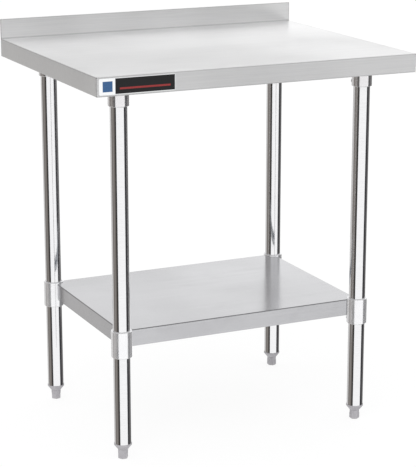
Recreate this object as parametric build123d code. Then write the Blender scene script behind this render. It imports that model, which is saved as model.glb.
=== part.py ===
from build123d import *
import math
import os

# A stainless steel work table with a rear splash, a height-adjustable undershelf and screw feet.
# Millimetres. +X runs right along the front, +Y to the back, +Z up; the floor is z = 0, under the centre.

# ---- overall sizes ----
TABLE_WIDTH = 762.0          # 30 in
TABLE_DEPTH = 610.0          # 24 in
WORK_HEIGHT = 876.0          # floor to work surface, feet screwed right in
SPLASH_HEIGHT = 46.0         # above the work surface
APRON_HEIGHT = 41.3          # the folded-down edge
LEG_INSET_X = 85.0           # table end to leg axis
LEG_INSET_Y = 90.0           # table front or back to leg axis

# ---- sheet metal ----
TOP_SHEET = 1.2
TOP_BEND = 2.4               # outside radius of the folds round the work surface
HEM_BEND = 1.7               # outside radius of the folds along the aprons' bottoms
TOP_RETURN = 12.0            # flange folded inward along the apron's bottom
SPLASH_SLIT = 0.6            # air between the splash's two layers
SPLASH_COVE = 3.0            # inside radius where the splash rises from the top
SPLASH_CORNER = 4.0          # rounding of the splash's two upper corners
CROWN_SHARE = 0.48           # rounding of the splash's top edge, as a share of its thickness
END_BEND_SHARE = 0.9         # rounding of the sheet's end folds, as a share of that
MITRE_SLIT = 0.6             # where two returns meet at a corner
SHELF_SHEET = 1.0
SHELF_BEND = 2.0
SHELF_APRON = 38.0
SHELF_RETURN = 10.0
SHELF_NOSE = 5.0             # rounding where an apron turns into a corner notch
SHELF_TOP = 296.0            # floor to shelf surface

# ---- stiffening channels (hat sections) ----
CHANNEL_SHEET = 1.5
CHANNEL_DEPTH = 18.0
CHANNEL_FLANGE = 18.0
CHANNEL_BEND = 2.0           # inside radius of the channel's folds
CHANNEL_END_GAP = 6.0        # channel end to the apron's inner face, or to another channel
LEG_CHANNEL_MARGIN = 5.0     # socket plate to the edge of the channel's web
CENTRE_CHANNEL_WEB = 50.0
SHELF_CHANNEL_WEB = 60.0

# ---- legs, sockets and clamps ----
LEG_DIAMETER = 38.1          # 1 1/2 in
LEG_WALL = 1.2
LEG_TOP_GAP = 1.0            # tube's upper end to the channel web
SOCKET_WALL = 3.75
SOCKET_BELOW_APRON = 38.0
SOCKET_HOLE_PITCH = 58.0     # square bolt pattern
SOCKET_PLATE_MARGIN = 9.0    # bolt hole to the plate's edge
SOCKET_PLATE_THICKNESS = 5.0
SOCKET_PLATE_CORNER = 10.0
SOCKET_ROOT = 3.0            # fillet between barrel and plate
SOCKET_FIT = 0.2             # radial, leg in socket
CLAMP_WALL = 3.9
CLAMP_PROUD = 2.0            # clamp's top above the shelf surface
CLAMP_BELOW_APRON = 20.0
CLAMP_FIT = 0.3              # radial, leg in clamp
CLAMP_SEAT = 0.35            # clamp to the shelf's notch wall
RIM_CHAMFER = 0.8            # on the ends of sockets and clamps

# ---- feet ----
FOOT_TRAVEL = 25.4           # how far a foot screws out
FOOT_HEX = 20.3              # across flats
FOOT_SHOULDER_DIAMETER = 22.2
FOOT_SHOULDER_BASE = 14.0    # hexagon below, round shoulder above
FOOT_TOP = 22.0
FOOT_BOTTOM_CHAMFER = 1.5
FOOT_GAP = 0.5               # foot to insert, screwed right in
FOOT_TURNS = {"front_left": 0.0, "front_right": 30.0, "back_left": 12.0, "back_right": 22.0}   # degrees
INSERT_FLANGE_LIP = 0.75     # flange beyond the tube's outside
INSERT_FLANGE_HEIGHT = 3.5
INSERT_TAPER_HEIGHT = 10.0
INSERT_NECK_LIP = 0.9        # taper's lower end beyond the foot's shoulder
INSERT_PLUG_LENGTH = 34.0
INSERT_FIT = 0.1             # radial, plug in tube
INSERT_RIBS = 8
INSERT_CORE_WALL = 3.5       # stem's core round the bush
INSERT_RIB_WIDTH = 2.4
STUD_DIAMETER = 9.525        # 3/8 in
STUD_BASE = 5.0              # floor to the stud's end inside the foot
STUD_ENGAGEMENT = 9.0        # thread left in the bush when a foot is right out
STUD_RUNNING_FIT = 0.05      # radial, stud in bush and in foot
STUD_CLEARANCE = 0.5         # radial, stud in insert
STUD_END_GAP = 0.3
STUD_CHAMFER = 1.0
BUSH_DIAMETER = 15.0
BUSH_LENGTH = 16.0
BUSH_FIT = 0.05              # radial, bush in insert
BUSH_LIP = 1.5               # the lip's height and its reach beyond the bush

# ---- fasteners ----
WELD_STUD_DIAMETER = 5.0
WELD_STUD_LENGTH = 10.0
WELD_STUD_CLEARANCE = 0.4    # radial, stud in channel flange
WELD_STUD_FROM_END = 30.0    # channel end to its last stud
WELD_STUDS_PER_FLANGE = 3
NUT_FLATS = 8.0
NUT_HEIGHT = 4.5
NUT_FLANGE_DIAMETER = 11.0
NUT_FLANGE_HEIGHT = 1.2
NUT_FIT = 0.05               # radial, nut on stud
BOLT_DIAMETER = 6.0
BOLT_LENGTH = 16.0
BOLT_CLEARANCE = 0.3         # radial, bolt in plate
BOLT_HEAD_FLATS = 10.0
BOLT_HEAD_HEIGHT = 4.0
RIVET_NUT_DIAMETER = 9.0
RIVET_NUT_LENGTH = 11.0
RIVET_NUT_LIP_DIAMETER = 12.0
RIVET_NUT_LIP = 0.8
RIVET_NUT_FIT = 0.05         # radial, in the channel web and on the bolt
SET_SCREW_DIAMETER = 8.0
SET_SCREW_LENGTH = 5.0
SET_SCREW_SOCKET_FLATS = 4.0
SET_SCREW_SOCKET_DEPTH = 2.5
SET_SCREW_FIT = 0.05         # radial, screw in its hole
SET_SCREW_TIP_GAP = 0.1      # tip to leg
SOCKET_SCREW_ABOVE_RIM = 10.0
CLAMP_SCREW_ABOVE_RIM = 10.0
SHELF_SCREW_DIAMETER = 5.0   # holds the shelf's notch wall to the clamp
SHELF_SCREW_DEPTH = 3.0      # length inside the clamp
SHELF_SCREW_HEAD_DIAMETER = 9.5
SHELF_SCREW_HEAD_HEIGHT = 2.8
SHELF_SCREW_SOCKET_FLATS = 3.0
SHELF_SCREW_SOCKET_DEPTH = 1.6
SHELF_SCREW_FROM_TOP = 13.0  # below the shelf surface, to the upper screws
SHELF_SCREW_FROM_BOTTOM = 11.0     # above the apron's bottom, to the lower screws
SHELF_SCREW_FIT = 0.05       # radial, in the clamp
SHELF_SCREW_END_GAP = 0.3    # screw's end to the bottom of its hole
SHELF_SCREW_CLEARANCE = 0.4  # radial, in the shelf's wall

# ---- sticker ----
STICKER_WIDTH = 171.0
STICKER_THICKNESS = 0.15
STICKER_CORNER = 3.0
STICKER_FROM_END = 6.0       # table end to sticker
STICKER_MARGIN = 3.4         # apron's top and bottom to sticker

# ---- tolerances ----
EPSILON = 1e-4               # two lengths closer than this are the same

# ---- worked out ----
APRON_BOTTOM = WORK_HEIGHT - APRON_HEIGHT
UNDER_TOP = WORK_HEIGHT - TOP_SHEET
SPLASH_THICKNESS = 2 * TOP_SHEET + SPLASH_SLIT
LEG_X = TABLE_WIDTH / 2 - LEG_INSET_X
LEG_Y = TABLE_DEPTH / 2 - LEG_INSET_Y
LEG_RADIUS = LEG_DIAMETER / 2
LEG_BOTTOM = FOOT_TOP + FOOT_GAP + INSERT_TAPER_HEIGHT + INSERT_FLANGE_HEIGHT
LEG_BORE = LEG_RADIUS - LEG_WALL
CHANNEL_WEB_Z = UNDER_TOP - CHANNEL_DEPTH
SOCKET_RADIUS = LEG_RADIUS + SOCKET_FIT + SOCKET_WALL
SOCKET_PLATE = SOCKET_HOLE_PITCH + 2 * SOCKET_PLATE_MARGIN
SOCKET_BOTTOM = APRON_BOTTOM - SOCKET_BELOW_APRON
LEG_CHANNEL_WEB = SOCKET_PLATE + 2 * LEG_CHANNEL_MARGIN
SOCKET_PLATE_Z = CHANNEL_WEB_Z - SOCKET_PLATE_THICKNESS
LEG_TOP = CHANNEL_WEB_Z - LEG_TOP_GAP
UNDER_SHELF = SHELF_TOP - SHELF_SHEET
SHELF_BOTTOM = SHELF_TOP - SHELF_APRON
CLAMP_TOP = SHELF_TOP + CLAMP_PROUD
CLAMP_BOTTOM = SHELF_BOTTOM - CLAMP_BELOW_APRON
CLAMP_RADIUS = LEG_RADIUS + CLAMP_FIT + CLAMP_WALL
NOTCH_RADIUS = CLAMP_RADIUS + CLAMP_SEAT
SHELF_SCREW_HEIGHTS = (SHELF_TOP - SHELF_SCREW_FROM_TOP, SHELF_BOTTOM + SHELF_SCREW_FROM_BOTTOM)
INSERT_BOTTOM = FOOT_TOP + FOOT_GAP
INSERT_TOP = LEG_BOTTOM + INSERT_PLUG_LENGTH
STUD_TOP = INSERT_TOP - BUSH_LENGTH + STUD_ENGAGEMENT + FOOT_TRAVEL
STUD_RADIUS = STUD_DIAMETER / 2

CORNERS = {
    "front_left": (-1, -1),
    "front_right": (1, -1),
    "back_left": (-1, 1),
    "back_right": (1, 1),
}
ON_BASE = (Align.CENTER, Align.CENTER, Align.MIN)


# ---- helpers ----
def block(width, depth, height, z):
    """A box centred on the Z axis, standing on height z."""
    return Pos(0, 0, z) * Box(width, depth, height, align=ON_BASE)


def column(radius, z_low, z_high):
    """An upright cylinder on the Z axis."""
    return Pos(0, 0, z_low) * Cylinder(radius, z_high - z_low, align=ON_BASE)


def hexagon(flats, z_low, z_high):
    """An upright hexagonal prism on the Z axis, measured across its flats."""
    outline = RegularPolygon(flats / 2, 6, major_radius=False)
    return Pos(0, 0, z_low) * extrude(outline, z_high - z_low)


def outward(start, z):
    """The turn and place that lay an upright shape along +X, its foot at a distance off the Z axis."""
    return Pos(start, 0, z) * Rot(Y=90)


def spoke(radius, start, end, z):
    """A cylinder along +X at height z, from one distance off the Z axis to another."""
    return outward(start, z) * column(radius, 0, end - start)


def on_leg(corner):
    """The place of a leg's axis."""
    side_x, side_y = CORNERS[corner]
    return Pos(side_x * LEG_X, side_y * LEG_Y, 0)


def facing_in(corner):
    """The turn that carries +X towards the table's middle, at a leg."""
    side_x, side_y = CORNERS[corner]
    return Rot(Z=math.degrees(math.atan2(-side_y, -side_x)))


def edges_at(solid, z):
    """A solid's edges that lie wholly at height z."""
    boxes = [(edge, edge.bounding_box()) for edge in solid.edges()]
    return [edge for edge, box in boxes if abs(box.min.Z - z) < EPSILON and abs(box.max.Z - z) < EPSILON]


def widest(edges):
    """The edge that reaches furthest along X."""
    return max(edges, key=lambda edge: edge.bounding_box().max.X)


def group(shapes):
    """Several separate solids in one node."""
    return Compound([solid for shape in shapes for solid in shape.solids()])


def save(name, shape):
    """Write one node."""
    shape.label = name
    export_step(shape, os.path.join("parts", name + ".step"))


# ---- worktop ----
def worktop_skin(width, depth, z_low, z_top, bend, hem, splash_front, splash_top, cove, corner):
    """The worktop's outside, or its hollow: a tray whose back edge turns up into the splash.

    The profile lies in the YZ plane and is swept across the table.
    """
    front = -depth / 2
    back = depth / 2
    crown = (back - splash_front) * CROWN_SHARE
    with BuildSketch(Plane.YZ) as profile:
        with BuildLine():
            Polyline(
                (splash_front, splash_top),
                (splash_front, z_top),
                (front, z_top),
                (front, z_low),
                (back, z_low),
                (back, splash_top),
                close=True,
            )
        make_face()
        fillet([v for v in profile.vertices() if abs(v.Z - splash_top) < EPSILON], crown)
        fillet([v for v in profile.vertices() if abs(v.Z - z_top) < EPSILON and v.Y > 0], cove)
        fillet([v for v in profile.vertices() if abs(v.Z - z_top) < EPSILON and v.Y < 0], bend)
        fillet([v for v in profile.vertices() if abs(v.Z - z_low) < EPSILON], hem)
    with BuildSketch(Plane.XZ) as silhouette:
        with Locations((0, (z_low + splash_top) / 2)):
            Rectangle(width, splash_top - z_low)
        fillet([v for v in silhouette.vertices() if v.Z > z_top], corner)
        fillet([v for v in silhouette.vertices() if v.Z < z_top], hem)
    swept = extrude(profile.sketch, width / 2, both=True)
    ends = [e for e in swept.edges() if abs(abs(e.center().X) - width / 2) < EPSILON]
    folded = fillet(ends, END_BEND_SHARE * crown)
    return folded & extrude(silhouette.sketch, depth, both=True)


def worktop():
    """Top, aprons, inward returns and double-walled splash, folded from one sheet."""
    outside = worktop_skin(
        TABLE_WIDTH, TABLE_DEPTH, APRON_BOTTOM, WORK_HEIGHT, TOP_BEND, HEM_BEND,
        TABLE_DEPTH / 2 - SPLASH_THICKNESS, WORK_HEIGHT + SPLASH_HEIGHT, SPLASH_COVE, SPLASH_CORNER,
    )
    hollow = worktop_skin(
        TABLE_WIDTH - 2 * TOP_SHEET, TABLE_DEPTH - 2 * TOP_SHEET, APRON_BOTTOM + TOP_SHEET,
        UNDER_TOP, TOP_BEND - TOP_SHEET, HEM_BEND - TOP_SHEET,
        TABLE_DEPTH / 2 - TOP_SHEET - SPLASH_SLIT,
        WORK_HEIGHT + SPLASH_HEIGHT - TOP_SHEET, SPLASH_COVE + TOP_SHEET, SPLASH_CORNER - TOP_SHEET,
    )
    opening = block(
        TABLE_WIDTH - 2 * TOP_RETURN, TABLE_DEPTH - 2 * TOP_RETURN, 3 * TOP_SHEET,
        APRON_BOTTOM - TOP_SHEET,
    )
    slit_length = TOP_RETURN * math.sqrt(2)
    slit = Pos(-slit_length / 2) * Box(slit_length, MITRE_SLIT, 3 * TOP_SHEET)
    slit_x = TABLE_WIDTH / 2 - TOP_SHEET - MITRE_SLIT
    slit_y = TABLE_DEPTH / 2 - TOP_SHEET - MITRE_SLIT
    mitres = [
        Pos(side_x * slit_x, side_y * slit_y, APRON_BOTTOM)
        * Rot(Z=math.degrees(math.atan2(side_y, side_x))) * slit
        for side_x, side_y in CORNERS.values()
    ]
    return outside - hollow - opening - mitres


# ---- stiffening channels ----
def hat_channel(web, length):
    """A hat section along Y: flanges' upper faces at z = 0, the web hanging below."""
    middle = CHANNEL_SHEET / 2
    wall = web / 2 - middle
    rim = web / 2 + CHANNEL_FLANGE
    low = middle - CHANNEL_DEPTH
    path = FilletPolyline(
        (-rim, -middle),
        (-wall, -middle),
        (-wall, low),
        (wall, low),
        (wall, -middle),
        (rim, -middle),
        radius=CHANNEL_BEND + middle,
    )
    return Rot(X=90) * extrude(trace(path, CHANNEL_SHEET), length / 2, both=True)


def stud_places(web, length):
    """Where weld studs pass through a channel's two flanges, as places on its own XY plane."""
    reach = length / 2 - WELD_STUD_FROM_END
    step = 2 * reach / (WELD_STUDS_PER_FLANGE - 1)
    across = web / 2 + CHANNEL_FLANGE / 2
    rows = range(WELD_STUDS_PER_FLANGE)
    return [Pos(side * across, -reach + row * step, 0) for side in (-1, 1) for row in rows]


def drilled_channel(web, length):
    """A hat channel with its stud holes."""
    hole = column(WELD_STUD_DIAMETER / 2 + WELD_STUD_CLEARANCE, -CHANNEL_DEPTH, CHANNEL_SHEET)
    return hat_channel(web, length) - [place * hole for place in stud_places(web, length)]


def weld_stud():
    """A stud hanging from z = 0."""
    return column(WELD_STUD_DIAMETER / 2, -WELD_STUD_LENGTH, 0)


def flange_nut():
    """A hexagon nut with a round flange, bearing upwards on a channel flange whose top is z = 0."""
    seat = -CHANNEL_SHEET
    body = hexagon(NUT_FLATS, seat - NUT_HEIGHT, seat)
    body += column(NUT_FLANGE_DIAMETER / 2, seat - NUT_FLANGE_HEIGHT, seat)
    return body - column(WELD_STUD_DIAMETER / 2 + NUT_FIT, seat - 2 * NUT_HEIGHT, 0)


LEG_CHANNEL_LENGTH = TABLE_DEPTH - 2 * (TOP_SHEET + CHANNEL_END_GAP)
CENTRE_CHANNEL_LENGTH = 2 * (LEG_X - LEG_CHANNEL_WEB / 2 - CHANNEL_FLANGE - CHANNEL_END_GAP)
SHELF_CHANNEL_LENGTH = 2 * (LEG_X - SHELF_SHEET - CHANNEL_END_GAP)

# each channel under the worktop: web width, length and place
TOP_CHANNELS = {
    "left_channel": (LEG_CHANNEL_WEB, LEG_CHANNEL_LENGTH, Pos(-LEG_X, 0, UNDER_TOP)),
    "right_channel": (LEG_CHANNEL_WEB, LEG_CHANNEL_LENGTH, Pos(LEG_X, 0, UNDER_TOP)),
    "centre_channel": (CENTRE_CHANNEL_WEB, CENTRE_CHANNEL_LENGTH, Pos(0, 0, UNDER_TOP) * Rot(Z=90)),
}
SHELF_CHANNEL = (SHELF_CHANNEL_WEB, SHELF_CHANNEL_LENGTH, Pos(0, 0, UNDER_SHELF) * Rot(Z=90))


def studded(fastener, channels):
    """One fastener at every stud place of some channels."""
    places = [place * spot for web, length, place in channels for spot in stud_places(web, length)]
    return group([place * fastener for place in places])


def socket_bolt_places():
    """The four bolt places of a socket's plate, about the leg's axis."""
    reach = SOCKET_HOLE_PITCH / 2
    return [Pos(x, y, 0) for x in (-reach, reach) for y in (-reach, reach)]


def top_channel(name):
    """A worktop channel in place; the two over the legs also hold the sockets' rivet nuts."""
    web, length, place = TOP_CHANNELS[name]
    channel = place * drilled_channel(web, length)
    if name == "centre_channel":
        return channel
    radius = RIVET_NUT_DIAMETER / 2 + RIVET_NUT_FIT
    hole = column(radius, CHANNEL_WEB_Z - CHANNEL_SHEET, CHANNEL_WEB_Z + 2 * CHANNEL_SHEET)
    drills = [on_leg(corner) * spot * hole for corner in CORNERS for spot in socket_bolt_places()]
    return channel - drills


# ---- legs and sockets ----
def set_screw(z):
    """A grub screw along +X that stops at the leg, with a hexagon socket in its outer end."""
    start = LEG_RADIUS + SET_SCREW_TIP_GAP
    end = start + SET_SCREW_LENGTH
    recess = hexagon(SET_SCREW_SOCKET_FLATS, 0, 2 * SET_SCREW_SOCKET_DEPTH)
    return spoke(SET_SCREW_DIAMETER / 2, start, end, z) - outward(end - SET_SCREW_SOCKET_DEPTH, z) * recess


def set_screw_hole(z):
    """The tapped hole for a grub screw, at the leg's axis and outward."""
    return spoke(SET_SCREW_DIAMETER / 2 + SET_SCREW_FIT, 0, LEG_DIAMETER, z)


SOCKET_SCREW_Z = SOCKET_BOTTOM + SOCKET_SCREW_ABOVE_RIM
CLAMP_SCREW_Z = CLAMP_BOTTOM + CLAMP_SCREW_ABOVE_RIM


def leg_socket(corner):
    """A flanged socket bolted under a channel; the leg's upper end stands in its barrel."""
    outline = RectangleRounded(SOCKET_PLATE, SOCKET_PLATE, SOCKET_PLATE_CORNER)
    body = Pos(0, 0, SOCKET_PLATE_Z) * extrude(outline, SOCKET_PLATE_THICKNESS)
    body += column(SOCKET_RADIUS, SOCKET_BOTTOM, CHANNEL_WEB_Z)
    root = min(edges_at(body, SOCKET_PLATE_Z), key=lambda edge: edge.bounding_box().max.X)
    body = fillet(root, SOCKET_ROOT)
    body = chamfer(edges_at(body, SOCKET_BOTTOM), RIM_CHAMFER)
    body -= column(LEG_RADIUS + SOCKET_FIT, SOCKET_BOTTOM - RIM_CHAMFER, WORK_HEIGHT)
    bolt_hole = column(BOLT_DIAMETER / 2 + BOLT_CLEARANCE, SOCKET_BOTTOM, WORK_HEIGHT)
    body -= [spot * bolt_hole for spot in socket_bolt_places()]
    body -= facing_in(corner) * set_screw_hole(SOCKET_SCREW_Z)
    return on_leg(corner) * body


def rivet_nut():
    """A threaded insert in a channel's web, its lip under the web."""
    low = CHANNEL_WEB_Z
    body = column(RIVET_NUT_DIAMETER / 2, low, low + RIVET_NUT_LENGTH)
    body += column(RIVET_NUT_LIP_DIAMETER / 2, low + CHANNEL_SHEET, low + CHANNEL_SHEET + RIVET_NUT_LIP)
    thread = column(BOLT_DIAMETER / 2 + RIVET_NUT_FIT, low - RIVET_NUT_LENGTH, low + 2 * RIVET_NUT_LENGTH)
    return body - thread


def socket_bolt():
    """A hexagon bolt from under a socket's plate into its rivet nut."""
    head = hexagon(BOLT_HEAD_FLATS, SOCKET_PLATE_Z - BOLT_HEAD_HEIGHT, SOCKET_PLATE_Z)
    head_middle = SOCKET_PLATE_Z - BOLT_HEAD_HEIGHT / 2
    return head + column(BOLT_DIAMETER / 2, head_middle, SOCKET_PLATE_Z + BOLT_LENGTH)


def leg(corner):
    """A round tube from a foot insert up into its socket."""
    tube = column(LEG_RADIUS, LEG_BOTTOM, LEG_TOP) - column(LEG_BORE, 0, WORK_HEIGHT)
    return on_leg(corner) * tube


# ---- feet ----
def foot_insert(corner):
    """The moulded plug in a tube's lower end: a flange that tapers to the foot, and a ribbed stem."""
    flange = LEG_RADIUS + INSERT_FLANGE_LIP
    neck = FOOT_SHOULDER_DIAMETER / 2 + INSERT_NECK_LIP
    flange_z = LEG_BOTTOM - INSERT_FLANGE_HEIGHT
    with BuildSketch(Plane.XZ) as profile:
        with BuildLine():
            Polyline(
                (0, INSERT_BOTTOM),
                (neck, INSERT_BOTTOM),
                (flange, flange_z),
                (flange, LEG_BOTTOM),
                (0, LEG_BOTTOM),
                close=True,
            )
        make_face()
    head = revolve(profile.sketch, Axis.Z)
    rib = Rectangle(LEG_DIAMETER, INSERT_RIB_WIDTH)
    star = Circle(BUSH_DIAMETER / 2 + INSERT_CORE_WALL)
    star += [Rot(Z=180 * turn / (INSERT_RIBS / 2)) * rib for turn in range(INSERT_RIBS // 2)]
    star &= Circle(LEG_BORE - INSERT_FIT)
    body = head + Pos(0, 0, LEG_BOTTOM) * extrude(star, INSERT_PLUG_LENGTH)
    body -= column(STUD_RADIUS + STUD_CLEARANCE, 0, WORK_HEIGHT)
    body -= column(BUSH_DIAMETER / 2 + BUSH_FIT, INSERT_TOP - BUSH_LENGTH, WORK_HEIGHT)
    return on_leg(corner) * body


def foot_bush(corner):
    """The threaded bush in the top of an insert, resting on its lip."""
    body = column(BUSH_DIAMETER / 2, INSERT_TOP - BUSH_LENGTH, INSERT_TOP)
    body += column(BUSH_DIAMETER / 2 + BUSH_LIP, INSERT_TOP, INSERT_TOP + BUSH_LIP)
    return on_leg(corner) * (body - column(STUD_RADIUS + STUD_RUNNING_FIT, 0, WORK_HEIGHT))


def foot_stud(corner):
    """The threaded rod that carries a foot in its bush."""
    rod = column(STUD_RADIUS, STUD_BASE, STUD_TOP)
    return on_leg(corner) * chamfer(edges_at(rod, STUD_BASE) + edges_at(rod, STUD_TOP), STUD_CHAMFER)


def foot(corner):
    """A hexagonal bullet foot with a round shoulder, gripping the stud's lower end."""
    body = chamfer(edges_at(hexagon(FOOT_HEX, 0, FOOT_TOP), 0), FOOT_BOTTOM_CHAMFER)
    body &= block(2 * FOOT_HEX, 2 * FOOT_HEX, FOOT_SHOULDER_BASE, 0)
    body += column(FOOT_SHOULDER_DIAMETER / 2, FOOT_SHOULDER_BASE, FOOT_TOP)
    body -= column(STUD_RADIUS + STUD_RUNNING_FIT, STUD_BASE - STUD_END_GAP, WORK_HEIGHT)
    return on_leg(corner) * Rot(Z=FOOT_TURNS[corner]) * body


# ---- undershelf ----
def shelf_plan(inset):
    """The shelf from above, drawn in by an inset: a rectangle with a round notch at each leg."""
    plan = Rectangle(2 * (LEG_X - inset), 2 * (LEG_Y - inset))
    notch = Circle(NOTCH_RADIUS + inset)
    plan -= [Pos(side_x * LEG_X, side_y * LEG_Y) * notch for side_x, side_y in CORNERS.values()]
    return fillet(plan.vertices(), SHELF_NOSE - inset)


def folded_tray(inset, z_low, z_top, bend):
    """The shelf's outside or its hollow, with the folds round its upper edge."""
    tray = Pos(0, 0, z_low) * extrude(shelf_plan(inset), z_top - z_low)
    return fillet(edges_at(tray, z_top), bend)


def undershelf():
    """A pan with aprons all round, walls that wrap each clamp, and returns along the aprons' bottoms."""
    outside = folded_tray(0, SHELF_BOTTOM, SHELF_TOP, SHELF_BEND)
    hollow = folded_tray(SHELF_SHEET, SHELF_BOTTOM - SHELF_SHEET, UNDER_SHELF, SHELF_BEND - SHELF_SHEET)
    returns = shelf_plan(SHELF_SHEET / 2) - Rectangle(2 * (LEG_X - SHELF_RETURN), 2 * (LEG_Y - SHELF_RETURN))
    rim = extrude(returns, SHELF_SHEET)
    corner_gap = 2 * (NOTCH_RADIUS + SHELF_NOSE + SHELF_SHEET)
    gap = block(corner_gap, corner_gap, 4 * SHELF_SHEET, -SHELF_SHEET)
    rim -= [on_leg(corner) * gap for corner in CORNERS]
    pan = outside - hollow + Pos(0, 0, SHELF_BOTTOM) * rim
    drill = column(SHELF_SCREW_DIAMETER / 2 + SHELF_SCREW_CLEARANCE, 0, NOTCH_RADIUS)
    places = [on_leg(corner) * facing_in(corner) for corner in CORNERS]
    return pan - [place * outward(CLAMP_RADIUS, z) * drill for place in places for z in SHELF_SCREW_HEIGHTS]


def shelf_clamp(corner):
    """A ring that slides on a leg and carries one corner of the shelf."""
    ring = column(CLAMP_RADIUS, CLAMP_BOTTOM, CLAMP_TOP)
    ring = chamfer(edges_at(ring, CLAMP_BOTTOM) + edges_at(ring, CLAMP_TOP), RIM_CHAMFER)
    ring -= column(LEG_RADIUS + CLAMP_FIT, 0, WORK_HEIGHT)
    start = CLAMP_RADIUS - SHELF_SCREW_DEPTH - SHELF_SCREW_END_GAP
    radius = SHELF_SCREW_DIAMETER / 2 + SHELF_SCREW_FIT
    holes = [spoke(radius, start, LEG_DIAMETER, z) for z in SHELF_SCREW_HEIGHTS]
    holes.append(set_screw_hole(CLAMP_SCREW_Z))
    return on_leg(corner) * facing_in(corner) * (ring - holes)


def shelf_screw(z):
    """A button-head screw along +X, from inside the shelf's notch wall into the clamp."""
    seat = NOTCH_RADIUS + SHELF_SHEET
    end = seat + SHELF_SCREW_HEAD_HEIGHT
    head = spoke(SHELF_SCREW_HEAD_DIAMETER / 2, seat, end, z)
    head = chamfer(widest(head.edges()), SHELF_SCREW_HEAD_HEIGHT / 3)
    body = head + spoke(SHELF_SCREW_DIAMETER / 2, CLAMP_RADIUS - SHELF_SCREW_DEPTH, seat, z)
    recess = hexagon(SHELF_SCREW_SOCKET_FLATS, 0, SHELF_SCREW_HEAD_HEIGHT)
    return body - outward(end - SHELF_SCREW_SOCKET_DEPTH, z) * recess


def sticker():
    """A blank rating sticker near the left end of the front apron."""
    outline = RectangleRounded(STICKER_WIDTH, APRON_HEIGHT - 2 * STICKER_MARGIN, STICKER_CORNER)
    centre_x = -TABLE_WIDTH / 2 + STICKER_FROM_END + STICKER_WIDTH / 2
    centre_z = WORK_HEIGHT - APRON_HEIGHT / 2
    flat = Rot(X=90) * extrude(outline, STICKER_THICKNESS)
    return Pos(centre_x, -TABLE_DEPTH / 2, centre_z) * flat


def main():
    """Build every node and write it."""
    os.makedirs("parts", exist_ok=True)
    save("worktop", worktop())
    for name in TOP_CHANNELS:
        save(name, top_channel(name))
    save("top_weld_studs", studded(weld_stud(), TOP_CHANNELS.values()))
    save("top_flange_nuts", studded(flange_nut(), TOP_CHANNELS.values()))
    save("sticker", sticker())
    for corner in CORNERS:
        save(corner + "_socket", leg_socket(corner))
        save(corner + "_leg", leg(corner))
        save(corner + "_foot_insert", foot_insert(corner))
        save(corner + "_foot_bush", foot_bush(corner))
        save(corner + "_foot_stud", foot_stud(corner))
        save(corner + "_foot", foot(corner))
        save(corner + "_shelf_clamp", shelf_clamp(corner))
    spots = [on_leg(corner) * spot for corner in CORNERS for spot in socket_bolt_places()]
    save("socket_bolts", group([spot * socket_bolt() for spot in spots]))
    save("socket_rivet_nuts", group([spot * rivet_nut() for spot in spots]))
    inward = [on_leg(corner) * facing_in(corner) for corner in CORNERS]
    save("socket_set_screws", group([place * set_screw(SOCKET_SCREW_Z) for place in inward]))
    save("undershelf", undershelf())
    web, length, place = SHELF_CHANNEL
    save("shelf_channel", place * drilled_channel(web, length))
    save("shelf_weld_studs", studded(weld_stud(), [SHELF_CHANNEL]))
    save("shelf_flange_nuts", studded(flange_nut(), [SHELF_CHANNEL]))
    save("shelf_screws", group([place * shelf_screw(z) for place in inward for z in SHELF_SCREW_HEIGHTS]))
    save("shelf_set_screws", group([place * set_screw(CLAMP_SCREW_Z) for place in inward]))


main()
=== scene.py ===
"""A stainless steel kitchen work table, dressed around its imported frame.

The worktop, undershelf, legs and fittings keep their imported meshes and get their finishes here.
The foot screws get real threads, and the table stands in a white studio.
Everything is in metres: +X to the right along the front, +Y to the back, +Z up, the floor at z = 0.
"""

from __future__ import annotations

import logging
import math
from dataclasses import dataclass
from enum import Enum

import bmesh
import bpy
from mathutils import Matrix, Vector

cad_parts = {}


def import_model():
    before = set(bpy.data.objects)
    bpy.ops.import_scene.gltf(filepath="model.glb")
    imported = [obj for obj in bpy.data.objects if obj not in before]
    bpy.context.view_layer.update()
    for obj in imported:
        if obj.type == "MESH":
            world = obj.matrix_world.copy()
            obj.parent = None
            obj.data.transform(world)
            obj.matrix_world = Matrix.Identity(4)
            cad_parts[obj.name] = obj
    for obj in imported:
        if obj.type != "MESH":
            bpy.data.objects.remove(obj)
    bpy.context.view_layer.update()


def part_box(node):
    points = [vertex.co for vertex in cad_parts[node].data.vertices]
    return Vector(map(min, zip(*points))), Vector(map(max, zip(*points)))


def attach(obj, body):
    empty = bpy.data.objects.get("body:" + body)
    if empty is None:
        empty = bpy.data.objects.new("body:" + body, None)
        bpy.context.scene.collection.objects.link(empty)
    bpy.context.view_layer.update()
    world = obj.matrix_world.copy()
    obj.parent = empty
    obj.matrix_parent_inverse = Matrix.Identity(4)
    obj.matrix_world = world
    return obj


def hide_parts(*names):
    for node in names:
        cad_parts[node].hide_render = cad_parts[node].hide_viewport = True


LOG = logging.getLogger("work_table")

Colour = tuple[float, float, float]
Triple = tuple[float, float, float]
Pair = tuple[float, float]
Socket = bpy.types.NodeSocket

UNIT: Pair = (0.0, 1.0)      # the whole of a share
MIDDLE: Pair = (0.3, 0.7)    # where most of a random pattern's values lie
SOFT_EDGE = 0.0003           # half the width of a painted edge's soft step
WELD_DISTANCE = 1e-6         # closer points of a thread are made one
CUT_TOLERANCE = 1e-7         # how near a cut a point counts as being on it


# ---------------------------------------------------------------- named options


class Corner(Enum):
    """The table's four legs."""

    FRONT_LEFT = "front_left"
    FRONT_RIGHT = "front_right"
    BACK_LEFT = "back_left"
    BACK_RIGHT = "back_right"


class Grain(Enum):
    """The way a finish's polishing lines run, as how much each axis is squeezed in the pattern."""

    ALONG_X = (0.012, 1.0, 1.0)
    ALONG_Z = (1.0, 1.0, 0.012)
    ROUND_Z = (0.06, 0.06, 1.0)


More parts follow.
